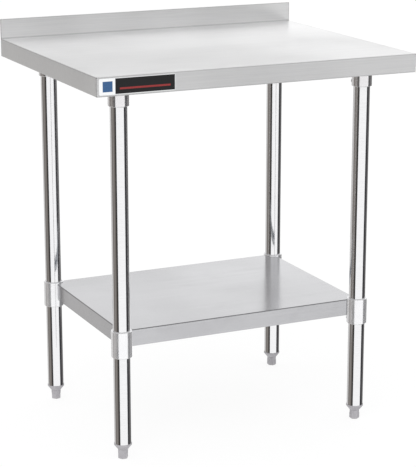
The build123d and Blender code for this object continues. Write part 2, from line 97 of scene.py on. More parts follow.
class Axis(Enum):
    """One of the table's axes, by its name on the shader nodes."""

    X = "X"
    Y = "Y"
    Z = "Z"


class Sum(Enum):
    """A sum on one or two values, by its name on the shader nodes."""

    ADD = "ADD"
    SUBTRACT = "SUBTRACT"
    MULTIPLY = "MULTIPLY"
    ABSOLUTE = "ABSOLUTE"
    ANGLE = "ARCTAN2"


# ---------------------------------------------------------------- shader building


@dataclass(frozen=True)
class Speckle:
    """A random pattern: its blobs per metre, and how many and how strong its finer layers are."""

    scale: float
    detail: float = 2.0
    strength: float = 0.5


@dataclass(frozen=True)
class Slab:
    """The space between two values of one coordinate, in metres."""

    axis: Axis
    low: float
    high: float


class Surface:
    """A material being built: one Principled surface and short calls for the nodes that feed it."""

    def __init__(self, name: str) -> None:
        """Start a material with an empty pattern.

        Args:
            name: The material's name.
        """
        self.material = bpy.data.materials.new(name)
        self.material.use_nodes = True
        self.tree = self.material.node_tree
        self.shader = self.tree.nodes["Principled BSDF"]
        self.object_coordinates = self.node("ShaderNodeTexCoord").outputs["Object"]
        self.relief: Socket | None = None

    def node(self, kind: str, **settings: object) -> bpy.types.Node:
        """Add a node.

        Args:
            kind: The node's type name.
            settings: Properties to set on it.

        Returns:
            The new node.
        """
        made = self.tree.nodes.new(kind)
        for key, value in settings.items():
            setattr(made, key, value)
        return made

    def feed(self, socket: Socket, value: object) -> None:
        """Link a socket into another, or set it to a plain value.

        Args:
            socket: The input to fill.
            value: An output socket, a number, or a tuple.
        """
        if isinstance(value, bpy.types.NodeSocket):
            self.tree.links.new(value, socket)
        else:
            socket.default_value = value

    def place(
        self, stretch: Triple = (1.0, 1.0, 1.0), shift: Triple = (0.0, 0.0, 0.0)
    ) -> Socket:
        """Object coordinates, stretched and shifted.

        Args:
            stretch: What each axis is multiplied by.
            shift: What is added afterwards.

        Returns:
            The vector socket.
        """
        mapping = self.node("ShaderNodeMapping")
        self.feed(mapping.inputs["Vector"], self.object_coordinates)
        mapping.inputs["Scale"].default_value = stretch
        mapping.inputs["Location"].default_value = shift
        return mapping.outputs["Vector"]

    def noise(self, vector: Socket, speckle: Speckle) -> Socket:
        """A smooth random value from 0 to 1.

        Args:
            vector: Where to read it.
            speckle: How fine it is.

        Returns:
            The value socket.
        """
        made = self.node("ShaderNodeTexNoise")
        self.feed(made.inputs["Vector"], vector)
        made.inputs["Scale"].default_value = speckle.scale
        made.inputs["Detail"].default_value = speckle.detail
        made.inputs["Roughness"].default_value = speckle.strength
        return made.outputs["Fac"]

    def cells(self, vector: Socket, scale: float) -> Socket:
        """A random colour for each crystal-like cell.

        Args:
            vector: Where to read it.
            scale: Cells per metre.

        Returns:
            The colour socket.
        """
        made = self.node("ShaderNodeTexVoronoi")
        self.feed(made.inputs["Vector"], vector)
        made.inputs["Scale"].default_value = scale
        return made.outputs["Color"]

    def span(self, value: Socket, source: Pair, target: Pair = UNIT) -> Socket:
        """Stretch a value's range to another, and clamp it there.

        Args:
            value: The value to read.
            source: The two values that become the ends of the target.
            target: The two ends of the result.

        Returns:
            The value socket.
        """
        made = self.node("ShaderNodeMapRange", clamp=True)
        self.feed(made.inputs["Value"], value)
        for name, number in zip(("From Min", "From Max", "To Min", "To Max"), source + target):
            made.inputs[name].default_value = number
        return made.outputs["Result"]

    def maths(self, operation: Sum, first: object, second: object = 0.0) -> Socket:
        """One sum on two values.

        Args:
            operation: Which sum.
            first: A socket or number.
            second: A socket or number.

        Returns:
            The value socket.
        """
        made = self.node("ShaderNodeMath", operation=operation.value)
        self.feed(made.inputs[0], first)
        self.feed(made.inputs[1], second)
        return made.outputs["Value"]

    def blend(self, share: Socket, first: object, second: object) -> Socket:
        """Mix two colours.

        Args:
            share: How much of the second.
            first: A colour or colour socket.
            second: A colour or colour socket.

        Returns:
            The colour socket.
        """
        made = self.node("ShaderNodeMix", data_type="RGBA")
        self.feed(made.inputs["Factor"], share)
        for name, colour in (("A", first), ("B", second)):
            whole = colour if isinstance(colour, bpy.types.NodeSocket) else (*colour, 1.0)
            self.feed(made.inputs[name], whole)
        return made.outputs["Result"]

    def tint(self, value: Socket, colour: Socket) -> Socket:
        """Multiply a colour by a value.

        Args:
            value: The value.
            colour: The colour.

        Returns:
            The colour socket.
        """
        made = self.node("ShaderNodeVectorMath", operation="SCALE")
        self.feed(made.inputs[0], colour)
        self.feed(made.inputs["Scale"], value)
        return made.outputs["Vector"]

    def scaled(self, colour: Socket, share: Socket, amount: float) -> Socket:
        """Multiply a colour where a share is 1, and leave it alone where the share is 0.

        Args:
            colour: The colour.
            share: Where to multiply it.
            amount: What it is multiplied by.

        Returns:
            The colour socket.
        """
        return self.tint(self.span(share, UNIT, (1.0, amount)), colour)

    def axis(self, axis: Axis) -> Socket:
        """One of the object coordinates.

        Args:
            axis: Which one.

        Returns:
            The value socket.
        """
        made = self.node("ShaderNodeSeparateXYZ")
        self.feed(made.inputs["Vector"], self.object_coordinates)
        return made.outputs[axis.value]

    def within(self, slab: Slab) -> Socket:
        """A value that is 1 inside a slab of space and 0 outside.

        Args:
            slab: The slab.

        Returns:
            The value socket.
        """
        place = self.axis(slab.axis)
        rising = self.span(place, (slab.low - SOFT_EDGE, slab.low + SOFT_EDGE))
        falling = self.span(place, (slab.high - SOFT_EDGE, slab.high + SOFT_EDGE), (1.0, 0.0))
        return self.maths(Sum.MULTIPLY, rising, falling)

    def crossing(self, first: Slab, second: Slab) -> Socket:
        """A value that is 1 where two slabs cross and 0 outside."""
        return self.maths(Sum.MULTIPLY, self.within(first), self.within(second))

    def bump(self, height: Socket, depth: float, strength: float) -> None:
        """Lay relief on the surface, over what is there.

        Args:
            height: The relief, from 0 to 1.
            depth: How deep it is, in metres.
            strength: How much of it shows.
        """
        made = self.node("ShaderNodeBump")
        made.inputs["Distance"].default_value = depth
        made.inputs["Strength"].default_value = strength
        self.feed(made.inputs["Height"], height)
        if self.relief is not None:
            self.feed(made.inputs["Normal"], self.relief)
        self.relief = made.outputs["Normal"]
        self.feed(self.shader.inputs["Normal"], self.relief)

    def brush_across(self, direction: Triple) -> None:
        """Blur reflections most along one direction, which is across the polishing lines.

        Args:
            direction: The direction in the table's own axes.
        """
        made = self.node("ShaderNodeCombineXYZ")
        for socket, number in zip(made.inputs, direction):
            socket.default_value = number
        self.feed(self.shader.inputs["Tangent"], made.outputs["Vector"])

    def paint(self, **values: object) -> None:
        """Set or link the shader's own inputs.

        Args:
            values: A socket, number or tuple for each input, named with _ for a space.
        """
        for name, value in values.items():
            self.feed(self.shader.inputs[name.replace("_", " ")], value)


# ---------------------------------------------------------------- finishes


@dataclass(frozen=True)
class Fold:
    """A line of painted shade where the sheet turns, darkened in colour where two slabs of space
    cross.
    """

    first: Slab
    second: Slab
    shade: float = 0.70


@dataclass(frozen=True)
class Rear:
    """A brighter stretch at the back of a top, painted to stand in for the splash mirrored in it.

    It is above a height, brightens from start to end along y, and stops at the sheet's back.
    """

    height: float
    start: float
    end: float
    stop: float
    gain: float
    height_step: float = 0.001
    stop_step: float = 0.0002


@dataclass(frozen=True)
class BrushedSheet:
    """Stainless sheet with a fine satin grain, smudges, polished welds at its corners, and painted
    shade and reflection.
    """

    name: str
    light: Colour
    dark: Colour
    grain: Grain
    smooth: float
    rough: float
    anisotropy: float
    corner: Pair | None = None
    weld_reach: float = 0.010
    weld_rough: float = 0.06
    across: Triple = (0.0, 0.05, 1.0)
    folds: tuple[Fold, ...] = ()
    rear: Rear | None = None
    tone: float = 0.90
    streak_tone: float = 0.75
    smudge_rough: float = 0.04
    line_rough: float = 0.03
    hairlines: Speckle = Speckle(900.0, 3.0, 0.6)
    streaks: Speckle = Speckle(140.0)
    clouds: Speckle = Speckle(5.0, 3.0, 0.55)
    smudges: Speckle = Speckle(16.0, 4.0, 0.6)
    drift: Speckle = Speckle(4.5, 1.0, 0.4)
    scratches: Speckle = Speckle(700.0)

    def colour(self, surface: Surface, lines: Socket) -> Socket:
        """The sheet's colour: grain, a slow drift, the rear's painted reflection, and the painted
        shade along its folds.

        Args:
            surface: The material being built.
            lines: The hairlines' pattern.

        Returns:
            The colour socket.
        """
        streaks = surface.noise(surface.place(self.grain.value), self.streaks)
        drift = surface.noise(surface.place((1.0, 0.7, 0.4), (0.7, 2.3, 5.1)), self.drift)
        faint = surface.span(streaks, MIDDLE, (self.streak_tone, 1.0))
        mixed = surface.maths(Sum.MULTIPLY, lines, faint)
        colour = surface.blend(surface.span(mixed, (0.25, 0.65)), self.dark, self.light)
        colour = surface.tint(surface.span(drift, (0.35, 0.65), (self.tone, 1.0)), colour)
        # painted reflection: the rear of a top is brightened to stand in for the splash mirrored in
        # it
        if self.rear is not None:
            colour = surface.scaled(colour, self.rear_share(surface, self.rear), self.rear.gain)
        # painted shade: the colour is darkened along each fold's line
        for fold in self.folds:
            colour = surface.scaled(colour, surface.crossing(fold.first, fold.second), fold.shade)
        return colour

    @staticmethod
    def rear_share(surface: Surface, rear: Rear) -> Socket:
        """How far a place is in the painted reflection at the rear, from 0 to 1.

        Args:
            surface: The material being built.
            rear: Where the rear is.

        Returns:
            The value socket.
        """
        along = surface.axis(Axis.Y)
        above = surface.span(surface.axis(Axis.Z), (rear.height, rear.height + rear.height_step))
        behind = surface.span(along, (rear.start, rear.end))
        inside = surface.span(along, (rear.stop - rear.stop_step, rear.stop), (1.0, 0.0))
        return surface.maths(Sum.MULTIPLY, surface.maths(Sum.MULTIPLY, above, behind), inside)

    def roughness(self, surface: Surface, lines: Socket, cloud: Socket) -> Socket:
        """The sheet's roughness: slow clouds, worn smudges and the grain.

        Args:
            surface: The material being built.
            lines: The hairlines' pattern.
            cloud: The slow pattern.

        Returns:
            The value socket.
        """
        smudge = surface.noise(surface.place((1.0, 1.6, 1.3), (3.1, 0.4, 1.9)), self.smudges)
        worn = surface.span(smudge, (0.52, 0.72), (0.0, self.smudge_rough))
        even = surface.span(cloud, MIDDLE, (self.smooth, self.rough))
        grain = surface.span(lines, (0.2, 0.8), (-self.line_rough, self.line_rough))
        return surface.maths(Sum.ADD, surface.maths(Sum.ADD, even, worn), grain)

    def welded(self, surface: Surface, rough: Socket, corner: Pair) -> Socket:
        """Lay the upright scratches of ground welds over the roughness at the four corners.

        Args:
            surface: The material being built.
            rough: The roughness elsewhere.
            corner: The corners' distance from the middle, in x and y.

        Returns:
            The value socket.
        """
        nearness = [
            surface.span(
                surface.maths(Sum.ABSOLUTE, surface.axis(axis)),
                (distance - self.weld_reach, distance - self.weld_reach / 2),
            )
            for axis, distance in zip((Axis.X, Axis.Y), corner)
        ]
        ground = surface.maths(Sum.MULTIPLY, *nearness)
        scratches = surface.noise(surface.place(Grain.ALONG_Z.value), self.scratches)
        patch = surface.span(scratches, MIDDLE, (self.smooth, self.rough + self.weld_rough))
        return surface.maths(
            Sum.ADD,
            surface.maths(Sum.MULTIPLY, rough, surface.maths(Sum.SUBTRACT, 1.0, ground)),
            surface.maths(Sum.MULTIPLY, patch, ground),
        )

    def material(self) -> bpy.types.Material:
        """Build the finish.

        Returns:
            The material.
        """
        surface = Surface(self.name)
        lines = surface.noise(surface.place(self.grain.value), self.hairlines)
        cloud = surface.noise(surface.place(), self.clouds)
        rough = self.roughness(surface, lines, cloud)
        if self.corner is not None:
            rough = self.welded(surface, rough, self.corner)
        surface.paint(
            Base_Color=self.colour(surface, lines), Roughness=rough, Metallic=1.0,
            Anisotropic=self.anisotropy,
        )
        surface.brush_across(self.across)
        surface.bump(lines, depth=0.00004, strength=0.06)
        surface.bump(cloud, depth=0.0006, strength=0.12)
        return surface.material


@dataclass(frozen=True)
class PolishedTube:
    """Bright tube, polished round and round, so that it mirrors the studio in upright bands."""

    name: str
    light: Colour
    dark: Colour
    smooth: float
    rough: float
    handled_rough: float = 0.05
    rings: Speckle = Speckle(1100.0, 3.0, 0.6)
    bands: Speckle = Speckle(60.0)
    draw_lines: Speckle = Speckle(500.0)
    handling: Speckle = Speckle(22.0, 4.0, 0.6)

    def material(self) -> bpy.types.Material:
        """Build the finish.

        Returns:
            The material.
        """
        surface = Surface(self.name)
        rings = surface.noise(surface.place(Grain.ROUND_Z.value), self.rings)
        bands = surface.noise(surface.place(Grain.ROUND_Z.value), self.bands)
        drawn = surface.noise(surface.place(Grain.ALONG_Z.value), self.draw_lines)
        handled = surface.noise(surface.place(), self.handling)
        even = surface.span(bands, MIDDLE, (self.smooth, self.rough))
        marks = surface.span(handled, (0.55, 0.75), (0.0, self.handled_rough))
        surface.paint(
            Base_Color=surface.blend(surface.span(rings, MIDDLE), self.dark, self.light),
            Roughness=surface.maths(Sum.ADD, even, marks), Metallic=1.0,
        )
        surface.bump(rings, depth=0.00002, strength=0.06)
        surface.bump(drawn, depth=0.00006, strength=0.05)
        return surface.material


@dataclass(frozen=True)
class CastMetal:
    """A die casting: a lightly pitted skin with a satin sheen and faint flow marks."""

    name: str
    light: Colour
    dark: Colour
    smooth: float
    rough: float
    metal: float
    pit_rough: Pair = (-0.02, 0.03)
    pits: Speckle = Speckle(900.0, 4.0, 0.65)
    flow_marks: Speckle = Speckle(90.0, 3.0)
    rings: Speckle = Speckle(700.0)

    def material(self) -> bpy.types.Material:
        """Build the finish.

        Returns:
            The material.
        """
        surface = Surface(self.name)
        skin = surface.noise(surface.place(), self.pits)
        flow = surface.noise(surface.place((1.0, 1.0, 0.5)), self.flow_marks)
        rings = surface.noise(surface.place(Grain.ROUND_Z.value), self.rings)
        even = surface.span(flow, MIDDLE, (self.smooth, self.rough))
        pitted = surface.span(skin, MIDDLE, self.pit_rough)
        surface.paint(
            Base_Color=surface.blend(surface.span(flow, MIDDLE), self.dark, self.light),
            Roughness=surface.maths(Sum.ADD, even, pitted), Metallic=self.metal,
        )
        surface.bump(skin, depth=0.00002, strength=0.12)
        surface.bump(rings, depth=0.00002, strength=0.05)
        return surface.material


@dataclass(frozen=True)
class Galvanised:
    """Hot-dip zinc with its pale spangle."""

    name: str
    light: Colour
    dark: Colour
    smooth: float = 0.30
    rough: float = 0.48
    spangles: float = 120.0
    spangle_share: float = 0.6
    haze: Speckle = Speckle(12.0, 3.0, 0.6)

    def material(self) -> bpy.types.Material:
        """Build the finish.

        Returns:
            The material.
        """
        surface = Surface(self.name)
        spangle = surface.cells(surface.place((1.0, 0.8, 1.0)), self.spangles)
        facet = surface.node("ShaderNodeSeparateColor")
        surface.feed(facet.inputs["Color"], spangle)
        haze = surface.noise(surface.place(), self.haze)
        share = surface.maths(
            Sum.ADD,
            surface.maths(Sum.MULTIPLY, facet.outputs["Red"], self.spangle_share),
            surface.maths(Sum.MULTIPLY, haze, 1.0 - self.spangle_share),
        )
        surface.paint(
            Base_Color=surface.blend(share, self.dark, self.light),
            Roughness=surface.span(facet.outputs["Green"], UNIT, (self.smooth, self.rough)),
            Metallic=0.9,
        )
        surface.bump(facet.outputs["Blue"], depth=0.00005, strength=0.3)
        return surface.material


@dataclass(frozen=True)
class PlatedSteel:
    """Small hardware: bright zinc or turned brass with fine machining lines."""

    name: str
    light: Colour
    dark: Colour
    smooth: float = 0.18
    rough: float = 0.34
    machining: Speckle = Speckle(2200.0)
    patches: Speckle = Speckle(260.0, 3.0, 0.6)

    def material(self) -> bpy.types.Material:
        """Build the finish.

        Returns:
            The material.
        """
        surface = Surface(self.name)
        turned = surface.noise(surface.place(Grain.ROUND_Z.value), self.machining)
        patch = surface.noise(surface.place(), self.patches)
        surface.paint(
            Base_Color=surface.blend(surface.span(patch, MIDDLE), self.dark, self.light),
            Roughness=surface.span(turned, (0.25, 0.75), (self.smooth, self.rough)), Metallic=1.0,
        )
        surface.bump(turned, depth=0.00003, strength=0.2)
        return surface.material


@dataclass(frozen=True)
class MouldedNylon:
    """Grey moulded plastic with a fine spark-eroded texture, scuffed pale near the floor."""

    name: str
    light: Colour
    dark: Colour
    scuffed: Colour
    scuff_top: float = 0.006
    scuff_share: float = 0.8
    smooth: float = 0.42
    rough: float = 0.55
    grit: Speckle = Speckle(2600.0, 3.0, 0.6)
    flow_marks: Speckle = Speckle(120.0, 3.0)

    def material(self) -> bpy.types.Material:
        """Build the finish.

        Returns:
            The material.
        """
        surface = Surface(self.name)
        grit = surface.noise(surface.place(), self.grit)
        flow = surface.noise(surface.place((1.0, 1.0, 0.4)), self.flow_marks)
        colour = surface.blend(surface.span(flow, MIDDLE), self.dark, self.light)
        low = surface.span(surface.axis(Axis.Z), (0.0, self.scuff_top), (1.0, 0.0))
        scratched = surface.span(grit, (0.45, 0.65), (0.0, self.scuff_share))
        rubbed = surface.maths(Sum.MULTIPLY, low, scratched)
        surface.paint(
            Base_Color=surface.blend(rubbed, colour, self.scuffed),
            Roughness=surface.span(flow, MIDDLE, (self.smooth, self.rough)), Metallic=0.0,
        )
        surface.bump(grit, depth=0.00012, strength=0.25)
        return surface.material


@dataclass(frozen=True)
class Printed:
    """A rectangle of ink, in the table's x and z, in metres."""

    ink: Colour
    x: Pair
    z: Pair


@dataclass(frozen=True)
class BlankSticker:
    """White gloss vinyl with plain blocks of ink, and nothing written on it."""

    name: str
    paper: Colour
    blocks: tuple[Printed, ...]
    paper_tone: float = 0.95
    ink_tone: float = 0.8
    smooth: float = 0.30
    rough: float = 0.40
    mottle: Speckle = Speckle(400.0, 3.0)

    def material(self) -> bpy.types.Material:
        """Build the finish.

        Returns:
            The material.
        """
        surface = Surface(self.name)
        mottle = surface.noise(surface.place(), self.mottle)
        share = surface.span(mottle, MIDDLE)
        colour = surface.blend(share, tuple(self.paper_tone * c for c in self.paper), self.paper)
        for block in self.blocks:
            covered = surface.crossing(Slab(Axis.X, *block.x), Slab(Axis.Z, *block.z))
            ink = surface.blend(share, tuple(self.ink_tone * c for c in block.ink), block.ink)
            colour = surface.blend(covered, colour, ink)
        surface.paint(
            Base_Color=colour, Roughness=surface.span(mottle, MIDDLE, (self.smooth, self.rough)),
            Specular_IOR_Level=0.25,
        )
        surface.bump(mottle, depth=0.00003, strength=0.2)
        return surface.material


# ---------------------------------------------------------------- pieces


class Dressing:
    """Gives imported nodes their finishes."""

    @staticmethod
    def cover(node: str, material: bpy.types.Material) -> None:
        """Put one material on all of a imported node.

        Args:
            node: The node's name.
            material: Its finish.
        """
        slots = bpy.data.objects[node].data.materials
        if len(slots) == 0:
            slots.append(material)
        for index in range(len(slots)):
            slots[index] = material
        LOG.info("%s: %s", node, material.name)


@dataclass
class Worktop:
    """The folded top with its aprons and splash, the channels under it, and the blank sticker."""

    half_width: float = 0.381
    half_depth: float = 0.305
    top: float = 0.876
    sheet: float = 0.0012
    apron: float = 0.0413
    splash_top: float = 0.922
    splash_thickness: float = 0.003
    bend: float = 0.0024
    line: float = 0.0018
    deep_shade: float = 0.60
    cove_shade: float = 0.62
    # the painted reflection of the splash at the back of the top: where it starts and ends, its
    # gain and inset
    bright_from: float = -0.05
    bright_to: float = 0.22
    bright_gain: float = 1.14
    bright_inset: float = 0.0005
    channels: tuple[str, ...] = ("left_channel", "right_channel", "centre_channel")
    hardware: tuple[str, ...] = ("top_weld_studs", "top_flange_nuts")
    panel_start: float = 0.036
    panel_margin: float = 0.0010
    patch: Pair = (0.008, 0.030)
    stripe: Pair = (0.010, 0.014)
    stripe_margin: float = 0.010

    def folds(self) -> tuple[Fold, ...]:
        """The lines of painted shade along the top's folds, the splash's edges and the hems.

        Returns:
            A fold for each line.
        """
        left, right = -self.half_width, self.half_width
        front, back = -self.half_depth, self.half_depth
        splash_face = back - self.splash_thickness
        hem = self.top - self.apron
        under_top = Slab(Axis.Z, self.top - self.bend, self.top)
        above_top = Slab(Axis.Z, self.top, self.top + self.bend)
        splash_rim = Slab(Axis.Z, self.splash_top - self.line, self.splash_top)
        splash_height = Slab(Axis.Z, self.top, self.splash_top)
        hem_line = Slab(Axis.Z, hem, hem + self.line)
        front_line = Slab(Axis.Y, front, front + self.line)
        left_line = Slab(Axis.X, left, left + self.line)
        right_line = Slab(Axis.X, right - self.line, right)
        return (
            Fold(Slab(Axis.Y, front, front + self.bend), under_top),
            Fold(Slab(Axis.X, left, left + self.bend), under_top),
            Fold(Slab(Axis.X, right - self.bend, right), under_top),
            Fold(Slab(Axis.Y, splash_face - self.bend, splash_face), above_top, self.cove_shade),
            Fold(Slab(Axis.Y, splash_face, back), splash_rim),
            Fold(right_line, splash_height),
            Fold(left_line, splash_height),
            Fold(right_line, front_line, self.deep_shade),
            Fold(left_line, front_line),
            Fold(hem_line, front_line, self.deep_shade),
            Fold(hem_line, left_line),
        )

    def sticker(self, low: Vector, high: Vector) -> BlankSticker:
        """The sticker's finish: a dark panel with a red line on it, and a blue square beside it.

        Args:
            low: The sticker's lowest corner.
            high: Its highest corner.

        Returns:
            The finish.
        """
        panel_x = (low.x + self.panel_start, high.x - self.panel_margin)
        panel_z = (low.z + self.panel_margin, high.z - self.panel_margin)
        stripe_x = (panel_x[0] + self.stripe_margin, panel_x[1] - self.stripe_margin)
        stripe_z = (low.z + self.stripe[0], low.z + self.stripe[1])
        patch_x = (low.x + self.patch[0], low.x + self.patch[1])
        middle = (low.z + high.z) / 2
        half = (self.patch[1] - self.patch[0]) / 2
        return BlankSticker("sticker_vinyl", (0.86, 0.87, 0.88), (
            Printed((0.012, 0.012, 0.013), panel_x, panel_z),
            Printed((0.30, 0.035, 0.035), stripe_x, stripe_z),
            Printed((0.045, 0.12, 0.27), patch_x, (middle - half, middle + half)),
        ))

    def dress(self, zinc: bpy.types.Material, galvanised: bpy.types.Material) -> None:
        """Give each of its nodes a finish.

        Args:
            zinc: For the studs and nuts.
            galvanised: For the channels.
        """
        rear = Rear(
            height=self.top - self.sheet, start=self.bright_from, end=self.bright_to,
            stop=self.half_depth - self.bright_inset, gain=self.bright_gain,
        )
        steel = BrushedSheet(
            "worktop_steel", (0.82, 0.82, 0.82), (0.75, 0.75, 0.755), Grain.ALONG_X,
            smooth=0.30, rough=0.37, anisotropy=0.8, corner=(self.half_width, self.half_depth),
            # painted shade along the folds and a painted reflection at the rear
            folds=self.folds(), rear=rear,
        )
        Dressing.cover("worktop", steel.material())
        for node in self.channels:
            Dressing.cover(node, galvanised)
        for node in self.hardware:
            Dressing.cover(node, zinc)
        low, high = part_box("sticker")
        Dressing.cover("sticker", self.sticker(low, high).material())
        width = 1000 * (high.x - low.x)
        LOG.info("worktop: %d channels, sticker %.0f mm wide", len(self.channels), width)


@dataclass
class Legs:
    """Four polished tubes in their cast sockets."""

    hardware: tuple[str, ...] = ("socket_bolts", "socket_rivet_nuts", "socket_set_screws")

    def dress(self, zinc: bpy.types.Material) -> None:
        """Give the tubes, sockets and their fasteners a finish.

        Args:
            zinc: For the fasteners.
        """
        tube = PolishedTube(
            "leg_steel", (0.79, 0.79, 0.80), (0.72, 0.72, 0.73), smooth=0.06, rough=0.10,
        ).material()
        casting = CastMetal(
            "socket_casting", (0.82, 0.81, 0.82), (0.76, 0.75, 0.76),
            smooth=0.12, rough=0.18, metal=0.92,
        ).material()
        for corner in Corner:
            Dressing.cover(f"{corner.value}_leg", tube)
            Dressing.cover(f"{corner.value}_socket", casting)
        for node in self.hardware:
            Dressing.cover(node, zinc)
        LOG.info("legs: %d tubes and sockets", len(Corner))


@dataclass
class Undershelf:
    """The shelf, its channel, and the clamps that hold it to the legs."""

    hardware: tuple[str, ...] = (
        "shelf_weld_studs", "shelf_flange_nuts", "shelf_screws", "shelf_set_screws",
    )
    bend: float = 0.002
    front_shade: float = 0.55
    left_shade: float = 0.60
    right_shade: float = 0.70
    hem_shade: float = 0.75

    def folds(self) -> tuple[Fold, ...]:
        """The lines of painted shade along the shelf's folds and its left hem.

        Returns:
            A fold for each line.
        """
        low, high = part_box("undershelf")
        under_top = Slab(Axis.Z, high.z - self.bend, high.z)
        left_line = Slab(Axis.X, low.x, low.x + self.bend)
        return (
            Fold(Slab(Axis.Y, low.y, low.y + self.bend), under_top, self.front_shade),
            Fold(left_line, under_top, self.left_shade),
            Fold(Slab(Axis.X, high.x - self.bend, high.x), under_top, self.right_shade),
            Fold(left_line, Slab(Axis.Z, low.z, low.z + self.bend), self.hem_shade),
        )

    def dress(self, zinc: bpy.types.Material, galvanised: bpy.types.Material) -> None:
        """Give the shelf, clamps and fasteners a finish, and keep the shelf out of reflections.

        Args:
            zinc: For the fasteners.
            galvanised: For the channel.
        """
        steel = BrushedSheet(
            "shelf_steel", (0.55, 0.55, 0.565), (0.50, 0.50, 0.515), Grain.ALONG_X,
            # painted shade along the shelf's folds and left hem
            smooth=0.17, rough=0.22, anisotropy=0.6, folds=self.folds(),
        )
        Dressing.cover("undershelf", steel.material())
        bpy.data.objects["undershelf"].visible_glossy = False
        Dressing.cover("shelf_channel", galvanised)
        casting = CastMetal(
            "clamp_casting", (0.86, 0.86, 0.87), (0.80, 0.80, 0.82),
            smooth=0.14, rough=0.22, metal=0.72,
        ).material()
        for corner in Corner:
            Dressing.cover(f"{corner.value}_shelf_clamp", casting)
        for node in self.hardware:
            Dressing.cover(node, zinc)
        LOG.info("undershelf: shelf, channel and %d clamps", len(Corner))


@dataclass
class LevellingFeet:
    """Screw-in feet: an insert and bush in each tube, a threaded stud, and the hexagon foot."""

    pitch: float = 0.0015875
    radius: float = 0.0047625
    depth: float = 0.00085
    flat: float = 0.125
    steps: int = 24

    def thread(self, name: str, centre: Vector, low: float, high: float) -> bpy.types.Object:
        """Model a threaded stud.

        One pitch of the thread's outline is swept up a helix and welded turn to turn, and the ends
        are cut square and capped.

        Args:
            name: The piece's name.
            centre: A point on the stud's axis.
            low: The stud's lower end.
            high: The stud's upper end.

        Returns:
            The new piece.
        """
        turns = math.ceil((high - low) / self.pitch) + 2
        root = self.radius - self.depth
        start = low - self.pitch
        outline = [
            (root, 0.0),
            (self.radius, (0.5 - self.flat) * self.pitch),
            (self.radius, (0.5 + self.flat) * self.pitch),
            (root, self.pitch),
        ]
        shape = bmesh.new()
        points = [shape.verts.new((r, 0.0, start + z)) for r, z in outline]
        edges = [shape.edges.new(pair) for pair in zip(points, points[1:])]
        bmesh.ops.spin(
            shape, geom=points + edges, cent=(0.0, 0.0, 0.0), axis=(0.0, 0.0, 1.0),
            dvec=(0.0, 0.0, self.pitch / self.steps), angle=2.0 * math.pi * turns,
            steps=turns * self.steps, use_merge=False,
        )
        bmesh.ops.remove_doubles(shape, verts=shape.verts, dist=WELD_DISTANCE)
        for height, way in ((low, -1.0), (high, 1.0)):
            everything = shape.verts[:] + shape.edges[:] + shape.faces[:]
            cut = bmesh.ops.bisect_plane(
                shape, geom=everything, dist=CUT_TOLERANCE, plane_co=(0.0, 0.0, height),
                plane_no=(0.0, 0.0, way), clear_outer=True,
            )
            rim = [e for e in cut["geom_cut"] if isinstance(e, bmesh.types.BMEdge)]
            bmesh.ops.contextual_create(shape, geom=rim)
        bmesh.ops.translate(shape, verts=shape.verts, vec=(centre.x, centre.y, 0.0))
        bmesh.ops.recalc_face_normals(shape, faces=shape.faces)
        mesh = bpy.data.meshes.new(name)
        shape.to_mesh(mesh)
        shape.free()
        piece = bpy.data.objects.new(name, mesh)
        bpy.context.scene.collection.objects.link(piece)
        return piece

    def build(self, zinc: bpy.types.Material) -> None:
        """Model the threaded studs in place of the plain ones.

        Args:
            zinc: The studs' finish.
        """
        for corner in Corner:
            node = f"{corner.value}_foot_stud"
            low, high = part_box(node)
            piece = self.thread(f"{corner.value}_threaded_stud", (low + high) / 2, low.z, high.z)
            piece.data.materials.append(zinc)
            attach(piece, f"{corner.value}_screw")
            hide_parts(node)
            LOG.info("%s: %d faces", piece.name, len(piece.data.polygons))

    def dress(self) -> None:
        """Give the inserts, feet and bushes a finish."""
        nylon = MouldedNylon(
            "foot_nylon", (0.44, 0.43, 0.45), (0.37, 0.36, 0.38), (0.55, 0.54, 0.54),
        ).material()
        brass = PlatedSteel("bush_brass", (0.83, 0.66, 0.34), (0.72, 0.55, 0.27)).material()
        for corner in Corner:
            Dressing.cover(f"{corner.value}_foot", nylon)
            Dressing.cover(f"{corner.value}_foot_insert", nylon)
            Dressing.cover(f"{corner.value}_foot_bush", brass)
        LOG.info("feet: %d inserts, bushes and feet", len(Corner))


# ---------------------------------------------------------------- studio


@dataclass(frozen=True)
class Band:
    """A stretch of the studio's wall that polished metal mirrors, up to an azimuth in degrees."""

    until: float
    colour: Colour


@dataclass(frozen=True)
class Storey:
    """One height of the studio's wall, all the way round, and the elevations where it fades in."""

    bands: tuple[Band, ...]
    rises: Pair = (-90.0, -89.0)
    blur: float = 3.0

    def fill(self, ramp: bpy.types.ColorRamp) -> None:
        """Put the bands on a colour ramp, with soft steps between them.

        Args:
            ramp: The ramp to fill, with the two stops that it starts with.
        """
        stops: list[tuple[float, Colour]] = [(0.0, self.bands[0].colour)]
        for band, following in zip(self.bands, self.bands[1:]):
            for azimuth, colour in (
                (band.until - self.blur / 2, band.colour),
                (band.until + self.blur / 2, following.colour),
            ):
                stops.append(((azimuth + 180.0) / 360.0, colour))
        while len(ramp.elements) < len(stops):
            ramp.elements.new(1.0)
        for element, (position, colour) in zip(ramp.elements, stops):
            element.position = position
            element.color = (*colour, 1.0)


